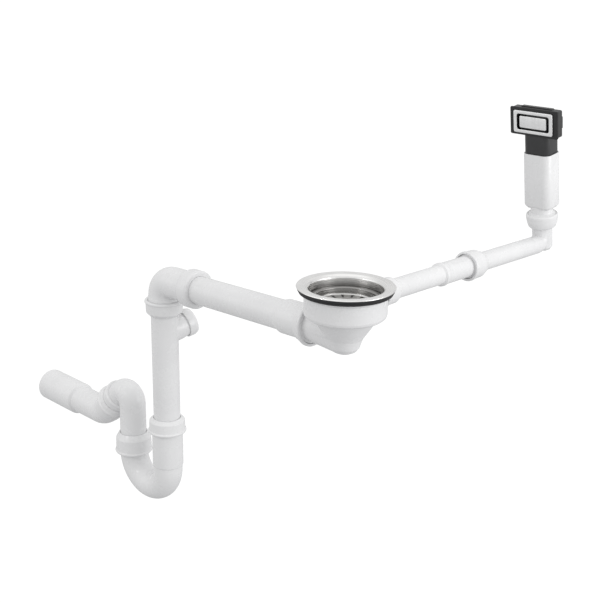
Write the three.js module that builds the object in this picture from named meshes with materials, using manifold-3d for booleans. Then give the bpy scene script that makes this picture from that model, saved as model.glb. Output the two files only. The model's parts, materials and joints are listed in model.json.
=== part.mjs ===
// Kitchen sink waste set: a strainer waste, a space-saving drain line that ends in a U-bend trap, and a
// telescopic overflow arm. Millimetres, +Z up. The origin is the centre of the sink's hole, between the
// two seals that grip the sink's sheet. The drain line runs along +Y and the overflow arm along +X.
import * as THREE from "three";
import { ConvexGeometry } from "three/addons/geometries/ConvexGeometry.js";
import { mergeVertices } from "three/addons/utils/BufferGeometryUtils.js";
import Module from "manifold-3d";

const wasm = await Module();
wasm.setup();

// ---------- driving dimensions ----------
const GAP = 0.3; // room between touching pieces
const WIDE = 32; // sides of the waste's flange, cup and basket
const ROUND = 20; // sides of a waste pipe or socket
const NUT = 20; // sides of a nut or washer
const SMALL = 16; // sides of a small round piece
const BEND_STEP = THREE.MathUtils.degToRad(22.5); // longest step round a bend

// Strainer waste
const FLANGE_R = 58;
const DISH_R = 43.2; // inside of the steel dish below its rolled lip
const DISH_LEDGE_Z = -9.6; // ledge that carries the basket's rim
const DISH_FLOOR_Z = -22;
const STEEL = 1; // sheet thickness
const SEAL_T = 2.85;
const BODY_R = 48.7; // outside of the plastic cup
const BODY_WALL = 2.2;
const BODY_FLOOR_Z = -32.6;
const SUMP_BOTTOM_Z = -78;
const BASKET_RIM_R = 41.8;
const BASKET_FLOOR_Z = -17;
const BASKET_SLOTS = 16;
const SLOT_HOLE_R = 33.8; // where each slot's round end lies

// 38 mm waste pipe and its slip joints
const PIPE_R = 19;
const PIPE_BORE = 17.2;
const SOCKET_BORE = 19.4;
const THREAD_R = 22.3;

// Drain line
const DRAIN_Z = -53.3; // height of the drain's axis under the sink's hole
const DRAIN_FALL = THREE.MathUtils.degToRad(2.04);
const BOSS_R = 20.8; // the waste's outlet boss
const UNION_THREAD_R = 23.6;
const BELL_R = 21.7;
const DRAIN_END = 312; // how far the drain pipe reaches, along its own axis
const DOWN_Y = 338; // the vertical pipe stands this far from the sink's hole
const ELBOW_R = 21.5;
const ELBOW_BEND = 22;
const MOUTH_START = 262; // open end of the rear elbow's socket

// Vertical pipe and its side branch
const DOWN_TOP_Z = -92;
const DOWN_BOTTOM_Z = -325;
const BRANCH_Z = -142.5;
const BRANCH_TURN = THREE.MathUtils.degToRad(-8); // from +X towards -Y
const BRANCH_RISE = THREE.MathUtils.degToRad(13); // the branch slopes up from the pipe
const BRANCH_R = 17.4;

// Trap
const TRAP_SPAN = 82; // between the two legs of the U-bend
const TRAP_Y = DOWN_Y + TRAP_SPAN;
const U_TOP_Z = -277.5;
const U_BEND_Z = -350; // where the legs turn into the bend
const U_SOCKET_Z = -344.5; // foot of the inlet leg's wider socket
const U_SOCKET_R = 22;
const U_TUBE_R = 20.6;
const ARM_CORNER_Z = -241; // where the arm's upright and sloping axes cross
const ARM_DATUM = 38.6; // from that corner to the point its slip joint is measured from
const ARM_BEND = 14.5;
const ARM_R = 19.4;
const ADAPTOR_SOCKET_R = 22.3;
const ADAPTOR_R = 21; // the adaptor from its socket to its step
const OUTLET_Z = -310.8;
const OUTLET_STEP_Y = 558;
const OUTLET_END_Y = 640;
const OUTLET_R = 24.4;

// Overflow arm
const ARM_Z = -17.6;
const TUBE_R = 12.5;
const TUBE_BORE = 10.7;
const ARM_CORNER_X = 406; // where the arm turns up
const ARM_CORNER_BEND = 15;
const TOWER_LEAN = THREE.MathUtils.degToRad(-9.5); // the riser leans back over the sink
const SLIDING_TUBE_X = 205; // inner end of the sliding tube

// Riser box and overflow head, along the leaning axis from the arm's corner
const BOX_WIDE = 44;
const BOX_DEEP = 34;
const BOX_CORNER = 9;
const BOX_WALL = 1.6;
const BOX_BOTTOM = 54.5;
const BOX_TOP = 132.8;
const NECK_BOTTOM = 92;
const HEAD_BOTTOM = 160;
const HEAD_TALL = 36;
const HEAD_WIDE = 71;
const HEAD_MID = HEAD_BOTTOM + HEAD_TALL / 2;
const HEAD_FRONT = -15.1;
const HEAD_BACK = -4.4;
const FACE_FRONT = -20.2;
const POST_Y = 18.4; // the face plate's two posts
const GASKET_WIDE = 74.6;
const GASKET_TALL = 37.8;
const LIP = 0.5; // the gasket's edge stands this far proud, to seal on the sink's wall

// ---------- materials ----------
const whitePlastic = new THREE.MeshStandardMaterial({ color: 0xeef0f1, roughness: 0.38, metalness: 0 });
const steel = new THREE.MeshStandardMaterial({ color: 0xb9b6b1, roughness: 0.3, metalness: 1 });
const brass = new THREE.MeshStandardMaterial({ color: 0xb5964f, roughness: 0.35, metalness: 1 });
const rubber = new THREE.MeshStandardMaterial({ color: 0x17181a, roughness: 0.75, metalness: 0 });
const blackPlastic = new THREE.MeshStandardMaterial({ color: 0x1d1e20, roughness: 0.45, metalness: 0 });

// ---------- shape helpers ----------
const object = new THREE.Group();

// A round piece turned about +Y from [radius, height] points that go round anticlockwise.
function turned(points, sides = ROUND) {
  const profile = points.map(([r, y]) => new THREE.Vector2(r, y));
  const onAxis = points[0][0] === 0 && points[points.length - 1][0] === 0;
  if (!onAxis) profile.push(profile[0].clone());
  return new THREE.LatheGeometry(profile, sides);
}

const turnedUp = (points, sides) => turned(points, sides).rotateX(Math.PI / 2);
const turnedAlongX = (points, sides) => turned(points, sides).rotateZ(-Math.PI / 2);

// A plain ring between two radii and two heights.
const ring = (inner, outer, low, high) => [[inner, low], [outer, low], [outer, high], [inner, high]];

// A plain disc, solid to the axis.
const disc = (radius, low, high) => [[0, low], [radius, low], [radius, high], [0, high]];

// A closed geometry as a solid that can be cut and joined.
function solid(geometry) {
  const bare = geometry.clone();
  bare.deleteAttribute("normal");
  bare.deleteAttribute("uv");
  const merged = mergeVertices(bare, 1e-4);
  const triVerts = new Uint32Array(merged.index.array);
  const vertProperties = new Float32Array(merged.attributes.position.array);
  return new wasm.Manifold(new wasm.Mesh({ numProp: 3, vertProperties, triVerts }));
}

const join = (pieces) => pieces.map(solid).reduce((all, piece) => all.add(piece));

// The smallest convex body round several geometries.
function hull(geometries) {
  const corners = geometries.flatMap(({ attributes: { position } }) =>
    Array.from({ length: position.count }, (_, i) => new THREE.Vector3().fromBufferAttribute(position, i)));
  return new ConvexGeometry(corners);
}

// A solid back as a geometry.
function shaped(manifold) {
  const { vertProperties, triVerts } = manifold.getMesh();
  const geometry = new THREE.BufferGeometry();
  geometry.setAttribute("position", new THREE.BufferAttribute(vertProperties, 3));
  geometry.setIndex(new THREE.BufferAttribute(triVerts, 1));
  geometry.computeVertexNormals();
  return geometry;
}

// The outer shapes joined, with the inner ones taken away.
const carved = (outer, inner) => shaped(join(outer).subtract(join(inner)));

// The centre line of a pipe: straight runs between corners, each corner rounded to a bend radius.
class PipeRun extends THREE.Curve {
  constructor(corners, bends) {
    super();
    this.stops = [];
    this.headings = [];
    const ahead = corners.slice(1).map((corner, i) => corner.clone().sub(corners[i]).normalize());
    this.stop(corners[0], ahead[0]);
    bends.forEach((radius, i) => this.bend(corners[i + 1], ahead[i], ahead[i + 1], radius));
    this.stop(corners[corners.length - 1], ahead[ahead.length - 1]);
  }
  stop(point, heading) {
    const last = this.stops[this.stops.length - 1];
    if (last && last.distanceTo(point) < 0.01) return;
    this.stops.push(point.clone());
    this.headings.push(heading.clone());
  }
  bend(corner, into, out, radius) {
    const turn = into.angleTo(out);
    const start = corner.clone().addScaledVector(into, -radius * Math.tan(turn / 2));
    const inward = out.clone().addScaledVector(into, -out.dot(into)).normalize();
    const steps = Math.ceil(turn / BEND_STEP);
    for (let i = 0; i <= steps; i++) {
      const angle = (turn * i) / steps;
      const point = start.clone().addScaledVector(into, radius * Math.sin(angle));
      point.addScaledVector(inward, radius * (1 - Math.cos(angle)));
      const heading = into.clone().multiplyScalar(Math.cos(angle));
      this.stop(point, heading.addScaledVector(inward, Math.sin(angle)));
    }
  }
  get steps() {
    return this.stops.length - 1;
  }
  getPointAt(u) {
    return this.stops[Math.round(u * this.steps)].clone();
  }
  getTangentAt(u) {
    return this.headings[Math.round(u * this.steps)].clone();
  }
}

// A round bar along a run.
function swept(run, radius, sides = ROUND) {
  const section = new THREE.Shape().absarc(0, 0, radius, 0, 2 * Math.PI);
  const options = { steps: run.steps, curveSegments: sides / 2, extrudePath: run, bevelEnabled: false };
  return new THREE.ExtrudeGeometry(section, options);
}

// The same bar as a chain of convex links, for a bend too tight to sweep.
function linked(run, radius, sides = ROUND) {
  const circle = (i) => {
    const facing = new THREE.Quaternion().setFromUnitVectors(new THREE.Vector3(1, 0, 0), run.headings[i]);
    return Array.from({ length: sides }, (_, k) => {
      const angle = (2 * Math.PI * k) / sides;
      const point = new THREE.Vector3(0, radius * Math.cos(angle), radius * Math.sin(angle));
      return point.applyQuaternion(facing).add(run.stops[i]);
    });
  };
  return run.stops.slice(1).map((_, i) => new ConvexGeometry([...circle(i), ...circle(i + 1)]));
}

// A rectangle with round corners, centred on the axis.
function roundedRectangle(wide, tall, corner) {
  const shape = new THREE.Shape();
  const x = wide / 2 - corner;
  const y = tall / 2 - corner;
  shape.absarc(x, y, corner, 0, Math.PI / 2);
  shape.absarc(-x, y, corner, Math.PI / 2, Math.PI);
  shape.absarc(-x, -y, corner, Math.PI, 1.5 * Math.PI);
  shape.absarc(x, -y, corner, 1.5 * Math.PI, 2 * Math.PI);
  return shape;
}

// A bar of that section standing along +Z between two heights.
function standing(deep, wide, corner, low, high, chamfer = 0) {
  const shape = roundedRectangle(deep - 2 * chamfer, wide - 2 * chamfer, Math.max(corner - chamfer, 1));
  const bevel = {
    bevelEnabled: chamfer > 0,
    bevelThickness: chamfer,
    bevelSize: chamfer,
    bevelSegments: 1,
  };
  const options = { depth: high - low - 2 * chamfer, curveSegments: 4, ...bevel };
  return new THREE.ExtrudeGeometry(shape, options).translate(0, 0, low + chamfer);
}

// A plate that faces -X: wide along Y, tall along Z, from one depth to another.
function facing(wide, tall, corner, front, back, height) {
  const options = { depth: back - front, curveSegments: 4, bevelEnabled: false };
  const plate = new THREE.ExtrudeGeometry(roundedRectangle(tall, wide, corner), options);
  return plate.rotateY(Math.PI / 2).translate(front, 0, height);
}

const box = (x0, x1, y0, y1, z0, z1) =>
  new THREE.BoxGeometry(x1 - x0, y1 - y0, z1 - z0).translate((x0 + x1) / 2, (y0 + y1) / 2, (z0 + z1) / 2);

// A group whose +Y points along a direction.
function along(origin, direction, parent = object) {
  const group = new THREE.Group();
  group.position.copy(origin);
  group.quaternion.setFromUnitVectors(new THREE.Vector3(0, 1, 0), direction.clone().normalize());
  parent.add(group);
  return group;
}

function piece(name, geometry, material, parent = object) {
  const mesh = new THREE.Mesh(geometry, material);
  mesh.name = name;
  parent.add(mesh);
}

// ---------- slip joints ----------
// A slip joint lies along +Y: the nut's open rim at 0 turns on a socket's thread, and its closed nose
// draws a conical washer on to the pipe.
function nutProfile({ thread, rim, rimLength, body, shoulder, nose, bore, length }) {
  const seat = shoulder + (thread - bore) * 0.8;
  const edge = rimLength / 2;
  const outside = [[thread, 0], [rim - 1, 0], [rim, edge], [rim, rimLength], [body, rimLength + 1],
    [body - 0.5, shoulder]];
  return [...outside, [nose, length], [bore, length], [bore, seat], [thread, shoulder]];
}

function washerProfile({ pipe, thread, socketEnd, shoulder }) {
  const inner = pipe + GAP;
  const outer = thread - 0.4;
  const low = socketEnd + GAP;
  const high = shoulder - GAP;
  return [[inner, low], [outer, low], [outer, high], [inner, high + (outer - inner) * 0.7]];
}

const WASTE_NUT = {
  thread: THREAD_R + 0.5,
  rim: 27.3,
  rimLength: 3,
  body: 25.8,
  shoulder: 17.5,
  nose: 20.6,
  bore: SOCKET_BORE,
  length: 22,
  pipe: PIPE_R,
  socketEnd: 14,
};

function slipJoint(nutName, washerName, origin, direction, sizes) {
  const group = along(origin, direction);
  piece(nutName, turned(nutProfile(sizes), NUT), whitePlastic, group);
  piece(washerName, turned(washerProfile(sizes), NUT), rubber, group);
}

// ---------- strainer waste ----------
const UP = new THREE.Vector3(0, 0, 1);
const DOWN = new THREE.Vector3(0, 0, -1);

function sinkFlange() {
  const floor = DISH_FLOOR_Z;
  const under = [[4.2, floor - 4], [8.6, floor - 4], [19.8, floor - STEEL], [35, floor - STEEL],
    [38.7, floor + 1.4], [39.7, DISH_LEDGE_Z - STEEL], [DISH_R + STEEL, DISH_LEDGE_Z - STEEL],
    [44.8, 0.6], [46.4, 2.3], [48, 3.3], [FLANGE_R - 1, 3.3]];
  const top = [[FLANGE_R, 3.7], [FLANGE_R - 0.8, 4.9], [48.4, 4.4], [46, 3.4], [43.9, 1.4],
    [DISH_R, DISH_LEDGE_Z], [38.8, DISH_LEDGE_Z], [37.6, floor + 1.8], [34.6, floor], [20.2, floor],
    [9, floor - 3], [4.2, floor - 3]];
  const openings = [];
  const sector = new THREE.Shape();
  const half = Math.PI / 4 - 0.2;
  sector.absarc(0, 0, 18.6, -half, half, false);
  sector.absarc(0, 0, 10.6, half, -half, true);
  for (let i = 0; i < 4; i++) {
    const opening = new THREE.ExtrudeGeometry(sector, { depth: 8, curveSegments: 3, bevelEnabled: false });
    openings.push(opening.translate(0, 0, floor - 6).rotateZ((i * Math.PI) / 2));
  }
  return carved([turnedUp([...under, ...top], WIDE)], openings);
}

function wasteBody() {
  const outside = [[0, SUMP_BOTTOM_Z], [7.7, -77.4], [14.4, -74.3], [18, -69.7], [19.8, -63.6],
    [21.6, -58.6], [38.2, BODY_FLOOR_Z - 1.2], [44.4, BODY_FLOOR_Z], [47.6, -30.4], [BODY_R, -27.4],
    [BODY_R, -6.6], [51.2, -5.4], [51.2, -SEAL_T - GAP], [0, -SEAL_T - GAP]];
  const w = BODY_WALL;
  const inside = [[0, SUMP_BOTTOM_Z + w], [6.8, -75.2], [12.6, -72.5], [15.8, -68.8], [17.6, -63.2],
    [19.2, -57.6], [36.8, BODY_FLOOR_Z + 1], [43.4, BODY_FLOOR_Z + w], [45.8, -28.6],
    [BODY_R - w + 0.3, -26], [BODY_R - w + 0.3, 1], [0, 1]];
  const onDrain = (geometry) => geometry.rotateX(-DRAIN_FALL).translate(0, 0, DRAIN_Z);
  const bossStart = turnedUp([...outside.slice(0, 5), [BOSS_R, DRAIN_Z], [0, DRAIN_Z]], WIDE);
  const boss = onDrain(turned(disc(BOSS_R, 0, 54)));
  const bossFoot = hull([bossStart, onDrain(turned(disc(BOSS_R, 44, 54)))]);
  const bossThread = onDrain(turned(disc(UNION_THREAD_R, 50.2, 54.6)));
  const spigot = turnedAlongX(disc(13.2, 38, 66), SMALL).translate(0, 0, ARM_Z);
  const spigotThread = turnedAlongX(disc(14.6, 65, 75), SMALL).translate(0, 0, ARM_Z);
  const drainBore = onDrain(turned(disc(PIPE_BORE, 0, 60)));
  const overflowBore = turnedAlongX(disc(TUBE_BORE, 30, 90), SMALL).translate(0, 0, ARM_Z);
  const shell = join([turnedUp(outside, WIDE), bossFoot, boss, bossThread, spigot, spigotThread]);
  const hollow = join([turnedUp(inside, WIDE), drainBore, overflowBore]);
  const hub = turnedUp(disc(8, -46, DISH_FLOOR_Z - 4 - GAP), SMALL);
  const rib = (i) => box(6, 36, -1.2, 1.2, -42, -34).rotateZ((i * 2 * Math.PI) / 3 + Math.PI / 6);
  const ribs = [0, 1, 2].map(rib);
  const spider = join([hub, ...ribs]).intersect(solid(turnedUp(outside, WIDE)));
  const screwHole = solid(turnedUp(disc(5.2, -42.5, -20), SMALL));
  return shaped(shell.subtract(hollow).add(spider).subtract(screwHole));
}

function strainerBasket() {
  const floor = BASKET_FLOOR_Z;
  const sheet = 0.9;
  const rim = DISH_LEDGE_Z + 0.4;
  const under = [[3.8, floor - sheet], [34.6, floor - sheet], [36.2, floor + 0.6], [37.4, rim],
    [BASKET_RIM_R, rim]];
  const top = [[BASKET_RIM_R, rim + sheet], [37.6, rim + sheet], [36.3, rim], [35.2, floor + 1.1],
    [34.2, floor], [3.8, floor]];
  const slots = [];
  for (let i = 0; i < BASKET_SLOTS; i++) {
    const turn = (i * 2 * Math.PI) / BASKET_SLOTS + 0.08;
    const hole = turnedUp(disc(2.3, floor - 3, floor + 2), 8).translate(SLOT_HOLE_R - 2.6, 0, 0);
    const slit = box(23.6, SLOT_HOLE_R - 2.6, -0.9, 0.9, floor - 3, floor + 2);
    slots.push(hole.rotateZ(turn), slit.rotateZ(turn));
  }
  return carved([turnedUp([...under, ...top], WIDE)], slots);
}

function strainerWaste() {
  const upperSeal = [[48.3, GAP / 2], [56.2, GAP / 2], [57.2, SEAL_T + GAP / 2], [48.3, SEAL_T + GAP / 2]];
  const lowerSeal = [[45.4, -SEAL_T], [54.5, -SEAL_T], [56, -GAP / 2], [45.4, -GAP / 2]];
  piece("sink_flange", sinkFlange(), steel);
  piece("upper_seal", turnedUp(upperSeal, WIDE), rubber);
  piece("lower_seal", turnedUp(lowerSeal, WIDE), rubber);
  piece("waste_body", wasteBody(), whitePlastic);
  piece("threaded_insert", turnedUp(ring(3.3, 4.9, -42, -28), SMALL), brass);
  const headUnder = DISH_FLOOR_Z - 3 + GAP;
  const screw = [[0, -40.5], [3, -40.5], [3, headUnder], [6, headUnder], [6, headUnder + 1.6],
    [4.6, headUnder + 2.2], [0, headUnder + 2.2]];
  piece("clamp_screw", turnedUp(screw, SMALL), steel);
}

function basket() {
  const sealTop = BASKET_FLOOR_Z - 0.9 - GAP;
  const lip = DISH_FLOOR_Z + GAP;
  const sealFoot = sealTop - 1.4;
  const seal = [[3.9, sealFoot], [18.6, sealFoot], [19.6, lip], [22.6, lip], [22.6, sealTop], [3.9, sealTop]];
  const collar = sealFoot - GAP;
  const stem = [[0, collar - 1.3], [8, collar - 1.3], [8, collar], [3.4, collar], [3.4, -13.6], [0, -13.6]];
  const foot = BASKET_FLOOR_Z + GAP;
  const knob = [[3.8, foot], [6.2, foot], [4.9, -14.8], [7, -13.8], [7, -12.9], [5, -12.1], [0, -12],
    [0, -13.3], [3.8, -13.3]];
  piece("strainer_basket", strainerBasket(), steel);
  piece("basket_seal", turnedUp(seal, NUT), rubber);
  piece("basket_stem", turnedUp(stem, SMALL), steel);
  piece("basket_knob", turnedUp(knob, SMALL), steel);
}

// ---------- drain line ----------
const drainWay = new THREE.Vector3(0, Math.cos(DRAIN_FALL), -Math.sin(DRAIN_FALL));
const drainStart = new THREE.Vector3(0, 0, DRAIN_Z);
const onDrainAxis = (distance) => drainStart.clone().addScaledVector(drainWay, distance);

function drainLine() {
  const line = along(drainStart, drainWay);
  const bore = BELL_R + 0.6;
  const thread = UNION_THREAD_R + 0.5;
  const nut = [[thread, 49.3], [26.6, 49.3], [27.6, 50.5], [27.6, 52.5], [26.3, 54.5], [23.4, 64.5],
    [bore, 64.5], [bore, 61.2], [thread, 60.8]];
  piece("outlet_nut", turned(nut, NUT), whitePlastic, line);
  const washer = ring(PIPE_BORE + 0.6, UNION_THREAD_R - 0.4, 54.9, 57.3);
  piece("outlet_washer", turned(washer, NUT), rubber, line);
  const pipe = [[19.6, 57.6], [23.5, 57.6], [23.5, 60.5], [BELL_R, 60.5], [BELL_R, 96], [PIPE_R, 104],
    [PIPE_R, DRAIN_END], [PIPE_BORE, DRAIN_END], [PIPE_BORE, 104], [19.6, 96]];
  piece("drain_pipe", turned(pipe), whitePlastic, line);
  const mouthSeal = ring(PIPE_R + GAP, 23.2, MOUTH_START + 6, MOUTH_START + 12);
  piece("elbow_mouth_seal", turned(mouthSeal, NUT), rubber, line);
}

function rearElbow() {
  const cornerDistance = DOWN_Y / Math.cos(DRAIN_FALL);
  const corner = onDrainAxis(cornerDistance);
  const lowEnd = -107;
  const stopZ = DOWN_TOP_Z + GAP;
  const tube = new PipeRun([onDrainAxis(290), corner, new THREE.Vector3(0, DOWN_Y, -90)], [ELBOW_BEND]);
  const bore = new PipeRun([onDrainAxis(280), corner, new THREE.Vector3(0, DOWN_Y, -96)], [ELBOW_BEND]);
  const placed = (profile) => {
    const geometry = turned(profile);
    return geometry.rotateX(-DRAIN_FALL).translate(0, 0, DRAIN_Z);
  };
  const m = MOUTH_START;
  const mouth = [[0, m], [24.4, m], [26, m + 3], [26, m + 18], [ELBOW_R, m + 23], [ELBOW_R, 300], [0, 300]];
  const mouthBore = [[0, m - 1], [SOCKET_BORE, m - 1], [SOCKET_BORE, m + 5.7], [23.5, m + 5.7],
    [23.5, m + 12.3], [SOCKET_BORE, m + 12.3], [SOCKET_BORE, DRAIN_END + GAP], [0, DRAIN_END + GAP]];
  const collar = turnedUp(disc(THREAD_R, lowEnd, -88)).translate(0, DOWN_Y, 0);
  const collarBore = turnedUp(disc(SOCKET_BORE, lowEnd - 1, stopZ)).translate(0, DOWN_Y, 0);
  const hollow = [swept(bore, PIPE_BORE, SMALL), placed(mouthBore), collarBore];
  return carved([swept(tube, ELBOW_R), placed(mouth), collar], hollow);
}

// ---------- vertical pipe and branch ----------
const branchWay = new THREE.Vector3(1, 0, 0).applyEuler(new THREE.Euler(0, -BRANCH_RISE, BRANCH_TURN, "ZYX"));
const branchStart = new THREE.Vector3(0, DOWN_Y, BRANCH_Z);

function verticalPipe() {
  const placed = (profile, sides) => {
    const geometry = turnedAlongX(profile, sides).rotateY(-BRANCH_RISE).rotateZ(BRANCH_TURN);
    return geometry.translate(0, DOWN_Y, BRANCH_Z);
  };
  const pipe = turnedUp(disc(PIPE_R, DOWN_BOTTOM_Z, DOWN_TOP_Z)).translate(0, DOWN_Y, 0);
  const bore = turnedUp(disc(PIPE_BORE, DOWN_BOTTOM_Z - 1, DOWN_TOP_Z + 1)).translate(0, DOWN_Y, 0);
  const branch = [[0, 0], [18, 0], [18, 21], [16.6, 28.5], [BRANCH_R, 30], [BRANCH_R, 38.4], [0, 38.4]];
  return carved([pipe, placed(branch, NUT)], [bore, placed(disc(14.6, 0, 40), SMALL)]);
}

function branchCap() {
  const line = along(branchStart, branchWay);
  const nut = [[BRANCH_R + 0.5, 30.6], [19.6, 30.6], [19.8, 40], [18.2, 44.8], [13.6, 44.8], [13.6, 42.9],
    [BRANCH_R + 0.5, 42.9]];
  piece("branch_nut", turned(nut, NUT), whitePlastic, line);
  piece("branch_washer", turned(ring(14.8, BRANCH_R - 0.2, 38.7, 40.3), NUT), rubber, line);
  piece("branch_blank", turned(disc(BRANCH_R, 40.6, 42.6), NUT), whitePlastic, line);
}

// ---------- trap ----------
const at = (y, z) => new THREE.Vector3(0, y, z);
const armWay = new THREE.Vector3(0, Math.SQRT1_2, -Math.SQRT1_2); // the arm's last run, down at 45 degrees
const trapCorner = at(TRAP_Y, ARM_CORNER_Z);
const onArm = (distance) => trapCorner.clone().addScaledVector(armWay, ARM_DATUM + distance);

function placedOnArm(profile) {
  const turnIn = new THREE.Quaternion().setFromUnitVectors(new THREE.Vector3(0, 1, 0), armWay);
  const { x, y, z } = onArm(0);
  return turned(profile).applyQuaternion(turnIn).translate(x, y, z);
}

function uBend() {
  const bottom = U_BEND_Z - TRAP_SPAN / 2;
  const radius = TRAP_SPAN / 2;
  const corners = (high, low) => [at(DOWN_Y, high), at(DOWN_Y, bottom), at(TRAP_Y, bottom), at(TRAP_Y, low)];
  const tube = new PipeRun(corners(-345, -344), [radius, radius]);
  const bore = new PipeRun(corners(-340, -342), [radius, radius]);
  const onLeg = (y, profile) => turnedUp(profile).translate(0, y, 0);
  const foot = U_SOCKET_Z;
  const inlet = [[0, foot - 3], [U_TUBE_R, foot - 3], [U_TUBE_R, foot], [U_SOCKET_R - 0.9, foot],
    [U_SOCKET_R, foot + 1.6], [U_SOCKET_R, -292], [THREAD_R, -291], [THREAD_R, U_TOP_Z], [0, U_TOP_Z]];
  const outlet = [[0, -353], [U_TUBE_R, -353], [THREAD_R, -350.5], [THREAD_R, -333.2], [0, -333.2]];
  const outer = [swept(tube, U_TUBE_R), onLeg(DOWN_Y, inlet), onLeg(TRAP_Y, outlet)];
  const sockets = [onLeg(DOWN_Y, disc(SOCKET_BORE, foot + 3, U_TOP_Z + 1)),
    onLeg(TRAP_Y, disc(SOCKET_BORE + 0.4, U_BEND_Z - 1, -332))];
  return carved(outer, [swept(bore, PIPE_BORE, SMALL), ...sockets]);
}

function trapArm() {
  const start = U_BEND_Z - 0.5;
  const tube = new PipeRun([at(TRAP_Y, start), trapCorner, onArm(30)], [ARM_BEND]);
  const bore = new PipeRun([at(TRAP_Y, start - 1), trapCorner, onArm(31)], [ARM_BEND]);
  const collar = [[0, 1.5], [23, 1.5], [24, 3], [24, 4.5], [23.6, 5.5], [23.6, 13.8], [0, 13.8]];
  return carved([...linked(tube, ARM_R), placedOnArm(collar)], linked(bore, PIPE_BORE, SMALL));
}

function outletAdaptor() {
  const bend = 30;
  const corner = onArm((ARM_CORNER_Z - OUTLET_Z) / Math.SQRT1_2 - ARM_DATUM);
  const ahead = (distance) => at(corner.y + distance, OUTLET_Z);
  const onOutlet = (profile) => turned(profile).translate(0, 0, OUTLET_Z);
  const s = OUTLET_STEP_Y;
  const tube = new PipeRun([onArm(23), corner, ahead(40)], [bend]);
  const bore = new PipeRun([onArm(22), corner, ahead(42)], [bend]);
  const outlet = [[0, 525], [ADAPTOR_R, 525], [ADAPTOR_R, s - 3], [OUTLET_R - 1, s - 1], [OUTLET_R, s + 2],
    [OUTLET_R, OUTLET_END_Y - 1.5], [OUTLET_R - 1, OUTLET_END_Y], [0, OUTLET_END_Y]];
  const outletBore = [[0, 520], [PIPE_BORE, 520], [PIPE_BORE, s], [OUTLET_R - 2.6, s + 6],
    [OUTLET_R - 2.6, OUTLET_END_Y + 1], [0, OUTLET_END_Y + 1]];
  const socket = placedOnArm([[0, 23], [ADAPTOR_SOCKET_R, 23], [ADAPTOR_SOCKET_R, 47], [ADAPTOR_R, 48.5],
    [0, 48.5]]);
  const socketBore = placedOnArm(disc(SOCKET_BORE + 0.4, 21, 30.6));
  const hollow = [swept(bore, PIPE_BORE, SMALL), socketBore, onOutlet(outletBore)];
  return carved([swept(tube, ADAPTOR_R), socket, onOutlet(outlet)], hollow);
}

function trap() {
  piece("u_bend", uBend(), whitePlastic);
  piece("trap_arm", trapArm(), whitePlastic);
  piece("outlet_adaptor", outletAdaptor(), whitePlastic);
  const armNut = { ...WASTE_NUT, pipe: ARM_R, bore: ARM_R + 0.5 };
  slipJoint("trap_inlet_nut", "trap_inlet_washer", at(DOWN_Y, -291.5), UP, WASTE_NUT);
  const tallBody = { rim: 27.6, body: 26.4, shoulder: 22.5, nose: 20.9, length: 31, socketEnd: 17.3 };
  const tallNut = { ...armNut, ...tallBody };
  slipJoint("trap_outlet_nut", "trap_outlet_washer", at(TRAP_Y, -350.5), UP, tallNut);
  const shortNut = { ...armNut, shoulder: 8.5, nose: 24.3, length: 12.5, socketEnd: 4 };
  slipJoint("arm_nut", "arm_washer", onArm(27), armWay.clone().negate(), shortNut);
}

// ---------- overflow arm ----------
function overflowArm() {
  const arm = along(new THREE.Vector3(0, 0, ARM_Z), new THREE.Vector3(1, 0, 0));
  const spigotNut = [[15.1, 60], [17.2, 60], [17.2, 64], [16.7, 65], [16.3, 79], [13.9, 84.5],
    [TUBE_R + 0.5, 84.5], [TUBE_R + 0.5, 81], [15.1, 80.7]];
  piece("overflow_spigot_nut", turned(spigotNut, NUT), whitePlastic, arm);
  piece("overflow_spigot_washer", turned(ring(TUBE_BORE + 0.2, 14.4, 75.3, 77.6), NUT), rubber, arm);
  const tube = [[TUBE_BORE, 77.9], [14.5, 77.9], [14.5, 80.4], [TUBE_R, 80.4], [TUBE_R, 172], [15.2, 174],
    [15.2, 178], [14, 181], [14, 229], [15.8, 230], [15.8, 246], [TUBE_R + 0.4, 246], [TUBE_R + 0.4, 184],
    [TUBE_BORE, 182]];
  piece("overflow_tube", turned(tube, NUT), whitePlastic, arm);
  const nutSizes = {
    thread: 16.4,
    rim: 19.6,
    rimLength: 4,
    body: 19,
    shoulder: 21,
    nose: 14.2,
    bore: TUBE_R + 0.4,
    length: 33,
    pipe: TUBE_R,
    socketEnd: 18,
  };
  const socketEnd = new THREE.Vector3(228, 0, ARM_Z);
  slipJoint("slip_nut", "slip_washer", socketEnd, new THREE.Vector3(1, 0, 0), nutSizes);
}

const armCorner = new THREE.Vector3(ARM_CORNER_X, 0, ARM_Z);
const towerWay = new THREE.Vector3(Math.sin(TOWER_LEAN), 0, Math.cos(TOWER_LEAN));
const onTower = (distance) => armCorner.clone().addScaledVector(towerWay, distance);

function overflowElbow() {
  const radius = TUBE_R - 0.1;
  const start = (x) => new THREE.Vector3(x, 0, ARM_Z);
  const tube = new PipeRun([start(SLIDING_TUBE_X), armCorner, onTower(30)], [ARM_CORNER_BEND]);
  const bore = new PipeRun([start(SLIDING_TUBE_X - 1), armCorner, onTower(32)], [ARM_CORNER_BEND]);
  const sleeve = [[0, -8], [11, -8], [13.8, -4], [13.8, 28.3], [16.5, 28.3], [16.5, 30.8], [0, 30.8]];
  const neck = turnedUp(sleeve, NUT).rotateY(TOWER_LEAN).translate(armCorner.x, 0, armCorner.z);
  return carved([swept(tube, radius, NUT), neck], [swept(bore, TUBE_BORE - 0.1, SMALL)]);
}

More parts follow.
